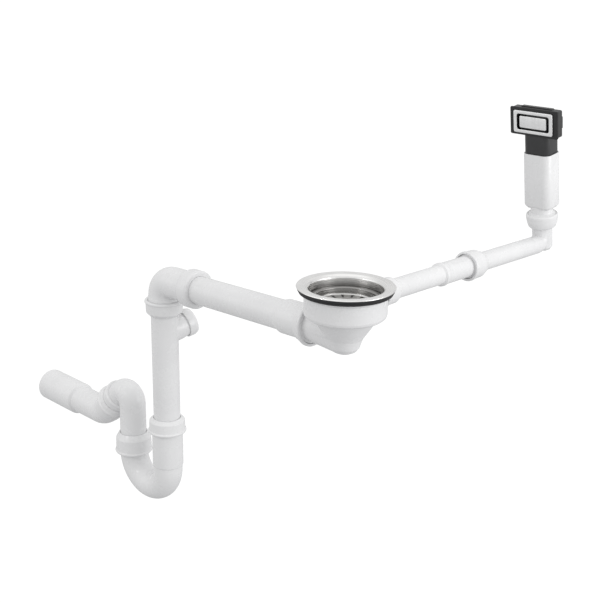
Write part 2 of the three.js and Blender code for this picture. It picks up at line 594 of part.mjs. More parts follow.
function riserBox() {
  const spigot = [[0, 33.7], [18.9, 33.7], [18.9, 45], [15.2, 47], [15.2, 62], [0, 62]];
  const high = BOX_TOP + 10;
  const shell = standing(BOX_DEEP, BOX_WIDE, BOX_CORNER, BOX_BOTTOM, high, 4);
  const top = box(-30, 30, -30, 30, BOX_TOP, high + 5);
  const inner = 2 * BOX_WALL;
  const corner = BOX_CORNER - BOX_WALL;
  const cavity = standing(BOX_DEEP - inner, BOX_WIDE - inner, corner, BOX_BOTTOM + 5, high + 5);
  return carved([shell, turnedUp(spigot, NUT)], [top, cavity, turnedUp(disc(11.6, 30, 70), SMALL)]);
}

function overflowHead() {
  const slack = 2 * (BOX_WALL + GAP);
  const neckDeep = BOX_DEEP - slack;
  const neckWide = BOX_WIDE - slack;
  const wall = 3.6;
  const corner = BOX_CORNER - BOX_WALL - GAP;
  const neck = standing(neckDeep, neckWide, corner, NECK_BOTTOM, HEAD_BOTTOM + 28);
  const inside = [neckDeep - wall, neckWide - wall, corner - wall / 2];
  const passage = standing(...inside, NECK_BOTTOM - 1, HEAD_BOTTOM + 25);
  const block = facing(HEAD_WIDE, HEAD_TALL, 2, HEAD_FRONT, HEAD_BACK, HEAD_MID);
  const cavity = facing(59, HEAD_TALL - 7, 1.5, HEAD_FRONT - 1, HEAD_BACK - 2, HEAD_MID);
  const lug = (side) => box(HEAD_BACK - 1, HEAD_BACK + 5.6, side - 3, side + 3, HEAD_MID - 8, HEAD_MID + 8);
  const postSocket = (y) => turnedAlongX(disc(4.4, -9, -2), 16).translate(0, y, HEAD_MID);
  const postHole = (y) => turnedAlongX(disc(2.6, -10, -2.9), 16).translate(0, y, HEAD_MID);
  const top = HEAD_BOTTOM + HEAD_TALL;
  const rib = box(HEAD_BACK - 6, HEAD_BACK - 0.5, -24, 24, top - 1, top + 1.2);
  const shell = join([neck, block, rib, lug(-30), lug(30)]).subtract(join([passage, cavity]));
  const sockets = join([postSocket(-POST_Y), postSocket(POST_Y)]);
  return shaped(shell.add(sockets).subtract(join([postHole(-POST_Y), postHole(POST_Y)])));
}

function overflowFace(tower) {
  const gasketFront = HEAD_FRONT - GAP - 2;
  const ringBack = gasketFront - GAP;
  const pad = facing(GASKET_WIDE, GASKET_TALL, 2, gasketFront, HEAD_FRONT - GAP, HEAD_MID);
  const passage = facing(54, 25, 2, gasketFront - 1, HEAD_FRONT + 1, HEAD_MID);
  const insideLip = facing(62, 31.6, 2, gasketFront - 1, gasketFront + LIP, HEAD_MID);
  piece("head_gasket", carved([pad], [passage, insideLip]), rubber, tower);
  const leg = (y) => box(ringBack - 1, -9, y - 0.7, y + 0.7, HEAD_MID - 4, HEAD_MID + 4);
  const frame = facing(60, 30, 2.4, FACE_FRONT, ringBack, HEAD_MID);
  const window = facing(50, 22.2, 1.6, FACE_FRONT - 1, ringBack + 0.01, HEAD_MID);
  piece("face_ring", carved([frame, leg(-25.9), leg(25.9)], [window]), steel, tower);
  const post = (y) => turnedAlongX(disc(2.2, -18.8, -3.3), 16).translate(0, y, HEAD_MID);
  const plate = facing(41.4, 15.8, 1.4, FACE_FRONT + 0.2, -18.4, HEAD_MID);
  piece("face_plate", shaped(join([plate, post(-POST_Y), post(POST_Y)])), steel, tower);
}

function overflowTower() {
  const tower = new THREE.Group();
  tower.position.copy(armCorner);
  tower.rotation.y = TOWER_LEAN;
  object.add(tower);
  const cup = [[14.3, 24.9], [16.4, 24.9], [18.7, 27], [19.9, 30.5], [21, 35], [21.8, 41.5], [21.8, 43.6],
    [20.4, 45.2], [19.4, 45.2], [19.4, 33.3], [17, 32], [17, 27.3], [14.3, 27.3]];
  piece("riser_nut", turnedUp(cup, NUT), whitePlastic, tower);
  piece("riser_washer", turnedUp(ring(TUBE_BORE + 0.3, 16.6, 31.1, 33.4), NUT), rubber, tower);
  piece("riser_box", riserBox(), whitePlastic, tower);
  piece("overflow_head", overflowHead(), blackPlastic, tower);
  overflowFace(tower);
}

// ---------- assembly ----------
strainerWaste();
basket();
drainLine();
piece("rear_elbow", rearElbow(), whitePlastic);
slipJoint("elbow_nut", "elbow_washer", at(DOWN_Y, -93), DOWN, WASTE_NUT);
piece("vertical_pipe", verticalPipe(), whitePlastic);
branchCap();
trap();
overflowArm();
piece("overflow_elbow", overflowElbow(), whitePlastic);
overflowTower();

export default object;
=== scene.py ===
"""Kitchen sink waste kit: the finished look of every piece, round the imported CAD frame.

Lengths are millimetres until a mesh is made, and metres in the studio. The frame's origin is the centre of
the sink's hole, +Z is up, the drain line runs along +Y and the overflow arm along +X.
"""

import json
import math

import bmesh
import bpy
from mathutils import Matrix, Vector


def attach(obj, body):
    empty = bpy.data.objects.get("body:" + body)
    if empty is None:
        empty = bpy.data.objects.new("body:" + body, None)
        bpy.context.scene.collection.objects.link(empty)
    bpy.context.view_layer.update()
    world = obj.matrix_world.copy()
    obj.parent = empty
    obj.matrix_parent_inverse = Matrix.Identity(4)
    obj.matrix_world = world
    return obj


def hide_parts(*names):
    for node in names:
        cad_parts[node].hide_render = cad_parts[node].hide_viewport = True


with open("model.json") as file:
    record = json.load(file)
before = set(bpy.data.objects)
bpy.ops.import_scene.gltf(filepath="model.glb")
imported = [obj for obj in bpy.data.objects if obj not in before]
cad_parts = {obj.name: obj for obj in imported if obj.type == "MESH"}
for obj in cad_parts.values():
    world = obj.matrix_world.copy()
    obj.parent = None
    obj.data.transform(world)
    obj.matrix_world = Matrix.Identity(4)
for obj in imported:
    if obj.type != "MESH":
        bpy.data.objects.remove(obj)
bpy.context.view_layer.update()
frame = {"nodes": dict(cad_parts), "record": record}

MM = 0.001
AROUND = 96  # sides of a turned piece
AROUND_CUP = 160  # sides of the waste's large rounds
UP = Vector((0, 0, 1))
RIGHT = Vector((1, 0, 0))
BACK = Vector((0, 1, 0))
SHARP = math.radians(38)

# ---------- places shared by several pieces ----------
DRAIN_FALL = math.radians(2.04)
DRAIN_START = Vector((0, 0, -53.3))
DRAIN_WAY = Vector((0, math.cos(DRAIN_FALL), -math.sin(DRAIN_FALL)))
DOWN_Y = 338
TRAP_Y = 420
BRANCH_START = Vector((0, DOWN_Y, -142.5))
BRANCH_WAY = Matrix.Rotation(math.radians(-8), 3, "Z") @ Matrix.Rotation(math.radians(-13), 3, "Y") @ RIGHT
TRAP_CORNER = Vector((0, TRAP_Y, -241))
ARM_WAY = Vector((0, math.sqrt(0.5), -math.sqrt(0.5)))
ARM_DATUM = 38.6
OUTLET_Z = -310.8
OVERFLOW_Z = -17.6
TOWER_LEAN = math.radians(-9.5)
TOWER_START = Vector((406, 0, OVERFLOW_Z))
PIPE_R = 19
PIPE_BORE = 17.2


def drain_at(distance):
    return DRAIN_START + DRAIN_WAY * distance


def arm_at(distance):
    return TRAP_CORNER + ARM_WAY * (ARM_DATUM + distance)


def facing(direction, origin):
    """The matrix that puts +Z along a direction at an origin."""
    return Matrix.Translation(origin) @ direction.to_track_quat("Z", "Y").to_matrix().to_4x4()


ON_DRAIN = facing(DRAIN_WAY, DRAIN_START)
ON_DOWN_PIPE = Matrix.Translation((0, DOWN_Y, 0))
ON_TRAP_LEG = Matrix.Translation((0, TRAP_Y, 0))
ON_BRANCH = facing(BRANCH_WAY, BRANCH_START)
ON_ARM = facing(ARM_WAY, arm_at(0))
ON_OUTLET = facing(BACK, Vector((0, 0, OUTLET_Z)))
ON_OVERFLOW = facing(RIGHT, Vector((0, 0, OVERFLOW_Z)))
TOWER = Matrix.Translation(TOWER_START) @ Matrix.Rotation(TOWER_LEAN, 4, "Y")


# ---------- outlines ----------
def eased(points, soft, closed, steps):
    """Corner points with each corner rounded. A point may carry its own radius as a third number."""
    path = []
    for i, point in enumerate(points):
        here = Vector(point[:2])
        radius = point[2] if len(point) > 2 else soft
        at_end = not closed and i in (0, len(points) - 1)
        back = Vector(points[i - 1][:2]) - here
        ahead = Vector(points[(i + 1) % len(points)][:2]) - here
        turn = 0 if at_end else math.pi - back.angle(ahead)
        if turn < math.radians(3):
            path.append(here)
            continue
        reach = min(radius * math.tan(turn / 2), 0.46 * back.length, 0.46 * ahead.length)
        start = here + back.normalized() * reach
        end = here + ahead.normalized() * reach
        for k in range(steps + 1):
            t = k / steps
            path.append(start * (1 - t) ** 2 + here * 2 * t * (1 - t) + end * t**2)
    return path


def rectangle(wide, tall, corner, steps=8):
    """A round-cornered outline, anticlockwise round the origin."""
    outline = []
    for x, y, first in ((1, 1, 0), (-1, 1, 90), (-1, -1, 180), (1, -1, 270)):
        centre = Vector((x * (wide / 2 - corner), y * (tall / 2 - corner)))
        for k in range(steps + 1):
            angle = math.radians(first + 90 * k / steps)
            outline.append(centre + Vector((math.cos(angle), math.sin(angle))) * corner)
    return outline


def grown(outline, distance):
    """An outline grown or, with a negative distance, shrunk."""
    moved = []
    for i, point in enumerate(outline):
        along = (outline[(i + 1) % len(outline)] - outline[i - 1]).normalized()
        moved.append(point + Vector((along.y, -along.x)) * distance)
    return moved


def plate_edge(low, high, ease, steps=4):
    """Insets and heights that round the lower and the upper edge of a plate."""
    lower = []
    for k in range(steps + 1):
        angle = math.pi / 2 * k / steps
        lower.append((ease * (1 - math.sin(angle)), low + ease * (1 - math.cos(angle))))
    return lower + [(inset, low + high - height) for inset, height in reversed(lower)]


def arc(centre, radius, first, last, steps):
    """Points round part of a circle, in degrees."""
    turns = [math.radians(first + (last - first) * k / steps) for k in range(steps + 1)]
    return [Vector(centre) + Vector((math.cos(a), math.sin(a))) * radius for a in turns]


def circle(centre, heading, side, radius, sides=AROUND):
    """A ring of points round a heading, starting from a side at right angles to it."""
    across = heading.cross(side)
    turns = [2 * math.pi * i / sides for i in range(sides)]
    return [centre + side * (radius * math.cos(a)) + across * (radius * math.sin(a)) for a in turns]


def run(corners, bends, step):
    """Points and headings along straight runs with rounded corners."""
    ahead = [(b - a).normalized() for a, b in zip(corners, corners[1:])]
    stops = [(corners[0], ahead[0])]
    for into, out, corner, radius in zip(ahead, ahead[1:], corners[1:], bends):
        turn = into.angle(out)
        start = corner - into * (radius * math.tan(turn / 2))
        inward = (out - into * out.dot(into)).normalized()
        count = math.ceil(math.degrees(turn) / step)
        for k in range(count + 1):
            angle = turn * k / count
            point = start + into * (radius * math.sin(angle)) + inward * (radius * (1 - math.cos(angle)))
            stops.append((point, into * math.cos(angle) + inward * math.sin(angle)))
    stops.append((corners[-1], ahead[-1]))
    return stops


class Shape:
    """A mesh in the making, in millimetres."""

    def __init__(self):
        self.bm = bmesh.new()

    def skin(self, rings, closed):
        """Joins rings of points one to the next. A ring of one point is a pole."""
        made = [[self.bm.verts.new(point) for point in ring] for ring in rings]
        pairs = list(zip(made, made[1:]))
        if closed:
            pairs.append((made[-1], made[0]))
        faces = []
        for low, high in pairs:
            count = max(len(low), len(high))
            for i in range(count):
                j = (i + 1) % count
                if len(low) == 1:
                    corners = (low[0], high[j], high[i])
                elif len(high) == 1:
                    corners = (low[i], low[j], high[0])
                else:
                    corners = (low[i], low[j], high[j], high[i])
                faces.append(self.bm.faces.new(corners))
        if not closed and len(made[0]) > 1:
            faces.append(self.bm.faces.new(made[0][::-1]))
            faces.append(self.bm.faces.new(made[-1]))
        bmesh.ops.recalc_face_normals(self.bm, faces=faces)
        return self

    def turned(self, profile, where=Matrix(), soft=0.5, sides=AROUND, steps=4):
        """Turns [radius, height] points about +Z of a placing matrix."""
        on_axis = profile[0][0] == 0 and profile[-1][0] == 0
        rings = []
        for radius, height in eased(profile, soft, not on_axis, steps):
            centre = Vector((0, 0, height))
            ring = circle(centre, UP, RIGHT, radius, sides) if radius > 0 else [centre]
            rings.append([where @ point for point in ring])
        return self.skin(rings, closed=not on_axis)

    def pipe(self, corners, bends, outer, bore, side=RIGHT, ease=0.4, step=4):
        """A pipe along straight runs, with each corner rounded to a bend radius. No bore makes a rod."""
        stops = run(corners, bends, step)
        (first, first_way), (last, last_way) = stops[0], stops[-1]
        rings = [circle(first, first_way, side, outer - ease)]
        rings.append(circle(first + first_way * ease, first_way, side, outer))
        rings += [circle(point, way, side, outer) for point, way in stops[1:-1]]
        rings.append(circle(last - last_way * ease, last_way, side, outer))
        rings.append(circle(last, last_way, side, outer - ease))
        if bore:
            rings += [circle(point, way, side, bore) for point, way in reversed(stops)]
        return self.skin(rings, closed=bool(bore))

    def slab(self, outline, low, high, where=Matrix(), ease=0.5, hole=None):
        """A plate of that outline between two heights, with eased edges and perhaps a hole through it."""
        edge = plate_edge(low, high, ease)
        rings = [[where @ Vector((*p, z)) for p in grown(outline, -inset)] for inset, z in edge]
        if hole:
            edge = reversed(plate_edge(low, high, ease * 0.6))
            rings += [[where @ Vector((*p, z)) for p in grown(hole, inset)] for inset, z in edge]
        return self.skin(rings, closed=bool(hole))

    def hull(self, rings):
        """The smallest convex body round some rings."""
        verts = [self.bm.verts.new(point) for ring in rings for point in ring]
        made = bmesh.ops.convex_hull(self.bm, input=verts)
        spare = {v for v in made["geom_interior"] + made["geom_unused"] if isinstance(v, bmesh.types.BMVert)}
        bmesh.ops.delete(self.bm, geom=list(spare), context="VERTS")
        return self

    def mesh(self, name):
        bmesh.ops.scale(self.bm, vec=(MM, MM, MM), verts=self.bm.verts)
        mesh = bpy.data.meshes.new(name)
        self.bm.to_mesh(mesh)
        self.bm.free()
        return mesh


def smooth(mesh):
    mesh.polygons.foreach_set("use_smooth", [True] * len(mesh.polygons))
    mesh.set_sharp_from_angle(angle=SHARP)


def piece(name, shape, material, body, *nodes):
    """Puts a finished shape in the scene, on its body, in place of CAD nodes."""
    mesh = shape.mesh(name)
    smooth(mesh)
    mesh.materials.append(material)
    obj = bpy.data.objects.new(name, mesh)
    bpy.context.scene.collection.objects.link(obj)
    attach(obj, body)
    if nodes:
        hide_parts(*nodes)
    return obj


def combine(obj, shape, operation):
    """Joins a shape to a piece or takes it away, and keeps the result."""
    other = bpy.data.objects.new("other", shape.mesh("other"))
    bpy.context.scene.collection.objects.link(other)
    modifier = obj.modifiers.new("combine", "BOOLEAN")
    modifier.operation = operation
    modifier.solver = "MANIFOLD"
    modifier.object = other
    made = bpy.data.meshes.new_from_object(obj.evaluated_get(bpy.context.evaluated_depsgraph_get()))
    obj.modifiers.clear()
    made.name = obj.name
    obj.data = made
    bpy.data.objects.remove(other)
    smooth(made)


class Finish:
    """Builds one procedural material."""

    def __init__(self, name):
        self.material = bpy.data.materials.new(name)
        self.material.use_nodes = True
        self.tree = self.material.node_tree
        self.shader = self.tree.nodes["Principled BSDF"]

    def put(self, socket, value):
        if isinstance(value, bpy.types.NodeSocket):
            self.tree.links.new(value, socket)
        else:
            socket.default_value = value

    def add(self, kind, **inputs):
        node = self.tree.nodes.new(kind)
        for key, value in inputs.items():
            self.put(node.inputs[key.replace("_", " ")], value)
        return node

    def place(self):
        return self.add("ShaderNodeTexCoord").outputs["Object"]

    def stretched(self, x, y, z):
        return self.add("ShaderNodeMapping", Vector=self.place(), Scale=(x, y, z)).outputs["Vector"]

    def noise(self, scale, detail, rough=0.5, source=None, twist=0.0):
        vector = source or self.place()
        inputs = {"Vector": vector, "Scale": scale, "Detail": detail, "Roughness": rough, "Distortion": twist}
        return self.add("ShaderNodeTexNoise", **inputs).outputs["Fac"]

    def span(self, value, low, high, start=0.3, end=0.7):
        limits = {"From Min": start, "From Max": end, "To Min": low, "To Max": high}
        return self.add("ShaderNodeMapRange", Value=value, **limits).outputs["Result"]

    def blend(self, amount, first, second):
        node = self.tree.nodes.new("ShaderNodeMix")
        node.data_type = "RGBA"
        self.put(node.inputs[0], amount)
        for socket, colour in ((node.inputs[6], first), (node.inputs[7], second)):
            self.put(socket, (*colour, 1) if isinstance(colour, tuple) else colour)
        return node.outputs[2]

    def bump(self, height, strength, distance, under=None):
        node = self.add("ShaderNodeBump", Height=height, Strength=strength, Distance=distance)
        if under:
            self.put(node.inputs["Normal"], under)
        return node.outputs["Normal"]

    def done(self, slot, **inputs):
        for key, value in inputs.items():
            self.put(self.shader.inputs[key.replace("_", " ")], value)
        return self.material


def moulded_plastic(name, slot, light, dark, smoothest, roughest):
    """Injection-moulded plastic: faint flow marks, a fine skin and a shallow waviness."""
    m = Finish(name)
    flow = m.noise(14, 4, 0.6, twist=0.6)
    waves = m.bump(m.noise(38, 2), 0.03, 0.0008)
    skin = m.bump(m.noise(2600, 2), 0.10, 0.00006, waves)
    colour = m.blend(m.span(flow, 0, 1), light, dark)
    rough = m.span(m.noise(60, 5, 0.65), smoothest, roughest)
    coat = {"Coat_Weight": 0.12, "Coat_Roughness": 0.12}
    return m.done(slot, Base_Color=colour, Roughness=rough, Normal=skin, **coat)


def pressed_steel(name, slot):
    """Pressed stainless steel polished in rings about +Z: bright rim, dish walls painted dark as shade,
    bright floor.
    """
    m = Finish(name)
    apart = m.add("ShaderNodeSeparateXYZ", Vector=m.place())
    x, y, z = (apart.outputs[axis] for axis in "XYZ")
    flat = m.add("ShaderNodeCombineXYZ", X=x, Y=y)
    length = m.add("ShaderNodeVectorMath", Vector=flat.outputs["Vector"])
    length.operation = "LENGTH"
    polar = m.add("ShaderNodeCombineXYZ", X=length.outputs["Value"], Y=z).outputs["Vector"]
    rings = m.noise(1500, 3, 0.6, polar)
    # painted shade: the walls down inside the dish get a dark colour, by height, as the shade in the recess
    wall = m.blend(m.span(rings, 0, 1, 0.25, 0.75), (0.20, 0.195, 0.19), (0.42, 0.415, 0.405))
    rim = m.blend(m.span(m.noise(26, 3), 0, 1), (0.93, 0.925, 0.915), (0.82, 0.815, 0.805))
    painted_wall_shade = m.span(z, 1, 0, -0.0065, -0.0005)
    on_the_floor = m.span(z, 1, 0, -0.0166, -0.0150)
    colour = m.blend(on_the_floor, m.blend(painted_wall_shade, rim, wall), (0.70, 0.695, 0.685))
    rough = m.span(rings, 0.2, 0.36)
    return m.done(slot, Base_Color=colour, Metallic=1.0, Roughness=rough, Normal=m.bump(rings, 0.16, 0.00005))


def brushed_steel(name, slot):
    """Sheet steel brushed up and down."""
    m = Finish(name)
    grain = m.noise(1.0, 4, 0.6, m.stretched(1400, 1400, 40))
    broad = m.noise(1.0, 2, 0.5, m.stretched(120, 120, 8))
    colour = m.blend(m.span(broad, 0, 1), (0.98, 0.98, 0.98), (0.91, 0.91, 0.91))
    rough = m.span(grain, 0.26, 0.42)
    return m.done(slot, Base_Color=colour, Metallic=1.0, Roughness=rough, Normal=m.bump(grain, 0.12, 0.00004))


def soft_rubber(name, slot):
    m = Finish(name)
    bloom = m.noise(90, 4, 0.6)
    colour = m.blend(m.span(bloom, 0, 1), (0.010, 0.010, 0.011), (0.024, 0.024, 0.025))
    skin = m.bump(m.noise(3200, 2), 0.2, 0.00006)
    return m.done(slot, Base_Color=colour, Roughness=m.span(bloom, 0.5, 0.7), Normal=skin)


def turned_brass(name, slot):
    m = Finish(name)
    grain = m.noise(1.0, 3, 0.5, m.stretched(60, 60, 4000))
    colour = m.blend(m.span(grain, 0, 1), (0.71, 0.53, 0.22), (0.56, 0.40, 0.15))
    rough = m.span(grain, 0.25, 0.4)
    return m.done(slot, Base_Color=colour, Metallic=1.0, Roughness=rough, Normal=m.bump(grain, 0.1, 0.00004))


WHITE_LIGHT, WHITE_DARK = (0.815, 0.815, 0.818), (0.77, 0.77, 0.775)
BLACK_LIGHT, BLACK_DARK = (0.034, 0.034, 0.035), (0.023, 0.023, 0.024)
white = moulded_plastic("white_polypropylene", "white_plastic", WHITE_LIGHT, WHITE_DARK, 0.22, 0.31)
black = moulded_plastic("black_polypropylene", "black_plastic", BLACK_LIGHT, BLACK_DARK, 0.34, 0.46)
steel = pressed_steel("polished_stainless", "steel")
plate_steel = brushed_steel("brushed_stainless", "steel")
rubber = soft_rubber("black_rubber", "rubber")
brass = turned_brass("turned_brass", "brass")

# ---------- strainer waste ----------
LEDGE_Z = -9.6
BASKET_FLOOR_Z = -17
SLOTS = 16


def sink_flange():
    under = [(4.2, -26), (8.6, -26), (19.8, -23), (35, -23, 2), (38.7, -20.6, 2), (39.7, -10.6),
             (44.2, -10.6), (44.8, 0.6, 1.5), (46.4, 2.3, 1.5), (48, 3.3, 2), (57, 3.3)]
    rolled_rim = [(58, 3.7), (57.2, 4.9, 1.2), (53, 4.6, 6), (48.4, 4.4, 3), (45.6, 3.2, 2.6),
                  (43.9, 1.0, 2.2)]
    dish = [(43.2, LEDGE_Z, 0.8), (38.8, LEDGE_Z, 0.8), (37.6, -20.2, 2), (34.6, -22, 2), (20.2, -22),
            (9, -25), (4.2, -25)]
    profile = under + rolled_rim + dish
    obj = piece("flange", Shape().turned(profile, sides=AROUND_CUP), steel, "waste", "sink_flange")
    ports = Shape()
    half = 45 - math.degrees(0.2)
    outline = arc((0, 0), 18.6, -half, half, 10) + arc((0, 0), 10.6, half, -half, 10)
    for quarter in range(4):
        turn = Matrix.Rotation(quarter * math.pi / 2, 4, "Z")
        ports.skin([[turn @ Vector((*p, z)) for p in outline] for z in (-28, -20)], closed=False)
    combine(obj, ports, "DIFFERENCE")


def seals():
    upper = [(48.3, 0.15), (56.2, 0.15), (57.2, 3.0), (48.3, 3.0)]
    lower = [(45.4, -2.85), (54.5, -2.85), (56, -0.15), (45.4, -0.15)]
    piece("seal_above_sheet", Shape().turned(upper, sides=AROUND_CUP), rubber, "waste", "upper_seal")
    piece("seal_below_sheet", Shape().turned(lower, sides=AROUND_CUP), rubber, "waste", "lower_seal")


def waste_body():
    sump = [(0, -78), (7.7, -77.4, 8), (14.4, -74.3, 6), (18, -69.7, 5), (19.8, -63.6, 5)]
    cup = [(21.6, -58.6, 4), (38.2, -33.8, 0.6), (44.4, -32.6, 1.5), (47.6, -30.4, 2), (48.7, -27.4, 2),
           (48.7, -6.6, 1), (51.2, -5.4), (51.2, -3.15), (0, -3.15)]
    room = [(0, -75.8), (6.8, -75.2, 4), (12.6, -72.5, 3), (15.8, -68.8, 3), (17.6, -63.2, 3),
            (19.2, -57.6, 3), (36.8, -31.6, 2), (43.4, -30.4, 2), (45.8, -28.6, 2), (46.8, -26, 3),
            (46.8, 1), (0, 1)]
    body = piece("cup_and_sump", Shape().turned(sump + cup, sides=AROUND_CUP), white, "waste", "waste_body")
    boss_r = 20.8
    inset = 0.15  # keeps the joined surfaces from lying in one another
    rings = [circle(UP * (z + inset), UP, RIGHT, r - inset) for r, z in eased(sump, 4, False, 4) if r > 0]
    rings += [[ON_DRAIN @ p for p in circle(UP * distance, UP, RIGHT, boss_r)] for distance in (0, 44, 49)]
    combine(body, Shape().hull(rings), "UNION")
    thread = [(0, 40), (boss_r - 0.02, 40), (boss_r - 0.02, 50.2), (23.6, 50.4), (23.6, 54.6), (0, 54.6)]
    combine(body, Shape().turned(thread, ON_DRAIN), "UNION")
    spigot = [(0, 38), (13.2, 38), (13.2, 65), (14.6, 65.4), (14.6, 75), (0, 75)]
    combine(body, Shape().turned(spigot, ON_OVERFLOW), "UNION")
    combine(body, Shape().turned(room, sides=AROUND_CUP), "DIFFERENCE")
    combine(body, Shape().turned([(0, 2), (17.2, 2), (17.2, 60), (0, 60)], ON_DRAIN), "DIFFERENCE")
    combine(body, Shape().turned([(0, 30), (10.7, 30), (10.7, 80), (0, 80)], ON_OVERFLOW), "DIFFERENCE")
    pockets = Shape()
    for degrees in (-171, -94, 9, 86):
        way = Matrix.Rotation(math.radians(degrees), 3, "Z") @ RIGHT
        pockets.slab(rectangle(2.8, 2.2, 0.5, 3), 42.6, 50, facing(way, UP * -31.9), 0.1)
    combine(body, pockets, "DIFFERENCE")


def spider():
    """The three-legged hub under the dish that the clamping screw pulls on."""
    hub = Shape().turned([(5.2, -42.4), (5.2, -46), (8, -46), (8, -26.3), (5.2, -26.3)], steps=2)
    for third in range(3):
        spin = Matrix.Rotation(math.radians(30 + 120 * third), 4, "Z") @ Matrix.Translation((18.6, 0, 0))
        hub.slab(rectangle(22, 2.4, 0.4, 2), -42, -34, spin, 0.3)
    piece("spider_under_dish", hub, white, "waste")


def keyholes():
    """Cutters for the basket's slots: a round hole with a slit that runs inwards from it."""
    cutters = Shape()
    hole, slit = 2.3, 0.9
    opening = math.degrees(math.asin(slit / hole))
    outline = arc((31.2, 0), hole, opening - 180, 180 - opening, 16) + arc((24.4, 0), slit, 90, 270, 6)
    for i in range(SLOTS):
        turn = Matrix.Rotation(2 * math.pi * i / SLOTS + 0.08, 4, "Z")
        heights = (BASKET_FLOOR_Z - 3, BASKET_FLOOR_Z + 3)
        cutters.skin([[turn @ Vector((*p, z)) for p in outline] for z in heights], closed=False)
    return cutters


def basket():
    floor, sheet, rim = BASKET_FLOOR_Z, 0.9, LEDGE_Z + 0.4
    under = [(3.8, floor - sheet), (34.6, floor - sheet, 1.8), (36.2, floor + 0.6, 2), (37.4, rim, 1),
             (41.8, rim)]
    top = [(41.8, rim + sheet), (37.6, rim + sheet, 1.2), (36.3, rim, 1.5), (35.2, floor + 1.1, 2),
           (34.2, floor, 1.5), (3.8, floor)]
    shape = Shape().turned(under + top, sides=AROUND_CUP)
    obj = piece("basket_with_keyholes", shape, steel, "basket", "strainer_basket")
    combine(obj, keyholes(), "DIFFERENCE")
    knob = [(3.8, -16.6), (6.2, -16.6), (4.9, -14.8, 0.6), (7, -13.8), (7, -12.9), (5, -12.1, 1), (0, -12)]
    crown = Shape().turned([(0, -13.4), (3.8, -13.4), *knob])
    piece("turned_knob", crown, steel, "basket", "basket_knob")


# ---------- nuts ----------
def nut(name, node, where, thread=22.8, rim=27.3, rim_length=3, side=25.8, shoulder=17.5, nose=20.6,
        bore=19.4, length=22):
    """A smooth coupling nut: a flared rim at 0, a gently tapered side and a sloping nose."""
    outside = [(thread, 0, 0.3), (rim - 1, 0, 0.8), (rim, rim_length / 2, 0.9), (rim, rim_length, 0.8),
               (side, rim_length + 1.2, 1.2), (side - 0.5, shoulder, 1.6), (nose, length, 0.9)]
    seat = shoulder + (thread - bore) * 0.8
    inside = [(bore, length, 0.4), (bore, seat, 0.4), (thread, shoulder, 0.4)]
    piece(name, Shape().turned(outside + inside, where), white, node, node)


def pipe_nuts():
    nut("rear_elbow_nut", "elbow_nut", facing(-UP, Vector((0, DOWN_Y, -93))))
    nut("trap_entry_nut", "trap_inlet_nut", facing(UP, Vector((0, DOWN_Y, -291.5))))
    tall = {"rim": 27.6, "side": 26.4, "shoulder": 22.5, "nose": 20.9, "bore": 19.9, "length": 31}
    nut("trap_exit_nut", "trap_outlet_nut", facing(UP, Vector((0, TRAP_Y, -350.5))), **tall)
    short = {"shoulder": 8.5, "nose": 24.3, "bore": 19.9, "length": 12.5}
    nut("trap_arm_nut", "arm_nut", facing(-ARM_WAY, arm_at(27)), **short)
    slip = {"thread": 16.4, "rim": 19.6, "rim_length": 4, "side": 19, "shoulder": 21, "nose": 14.2,
            "bore": 12.9, "length": 33}
    nut("telescope_nut", "slip_nut", facing(RIGHT, Vector((228, 0, OVERFLOW_Z))), **slip)


def union_nuts():
    union = [(24.1, 49.3, 0.3), (26.6, 49.3, 0.8), (27.6, 50.5, 0.8), (27.6, 52.5, 0.9), (26.3, 54.5, 1.6),
             (23.4, 64.5, 0.9), (22.3, 64.5, 0.3), (22.3, 61.2, 0.3), (24.1, 60.8, 0.3)]
    spigot = [(15.1, 60, 0.3), (16.6, 60, 0.5), (17.2, 61, 0.6), (17.2, 64, 0.6), (16.7, 65.2, 1),
              (16.3, 79, 1.2), (13.9, 84.5, 0.8), (13.0, 84.5, 0.3), (13.0, 81, 0.3), (15.1, 80.7, 0.3)]
    cup = [(14.3, 24.9, 0.3), (16.4, 24.9, 1.5), (18.7, 27, 4), (19.9, 30.5, 9), (21, 35, 9), (21.8, 41.5, 3),
           (21.8, 43.6, 1), (20.4, 45.2, 0.8), (19.4, 45.2, 0.4), (19.4, 33.3, 0.6), (17, 32, 0.4),
           (17, 27.3, 0.3), (14.3, 27.3, 0.3)]
    cap = [(17.9, 30.6, 0.3), (19.0, 30.6, 0.5), (19.6, 31.6, 0.5), (19.8, 40, 2), (18.2, 44.8, 1.6),
           (13.6, 44.8, 0.5), (13.6, 42.9, 0.3), (17.9, 42.9, 0.3)]
    piece("drain_union_nut", Shape().turned(union, ON_DRAIN), white, "outlet_nut", "outlet_nut")
    spigot_shape = Shape().turned(spigot, ON_OVERFLOW)
    piece("overflow_union_nut", spigot_shape, white, "overflow_spigot_nut", "overflow_spigot_nut")
    piece("riser_cup_nut", Shape().turned(cup, TOWER), white, "riser_nut", "riser_nut")
    piece("branch_cap_nut", Shape().turned(cap, ON_BRANCH), white, "branch_nut", "branch_nut")


# ---------- drain line ----------
def drain_pipe():
    profile = [(19.6, 57.6), (23.5, 57.6), (23.5, 60.5), (21.7, 60.5), (21.7, 96, 6), (PIPE_R, 104, 8),
               (PIPE_R, 312), (PIPE_BORE, 312), (PIPE_BORE, 104, 4), (19.6, 96, 4)]
    piece("belled_drain_pipe", Shape().turned(profile, ON_DRAIN), white, "drain", "drain_pipe")


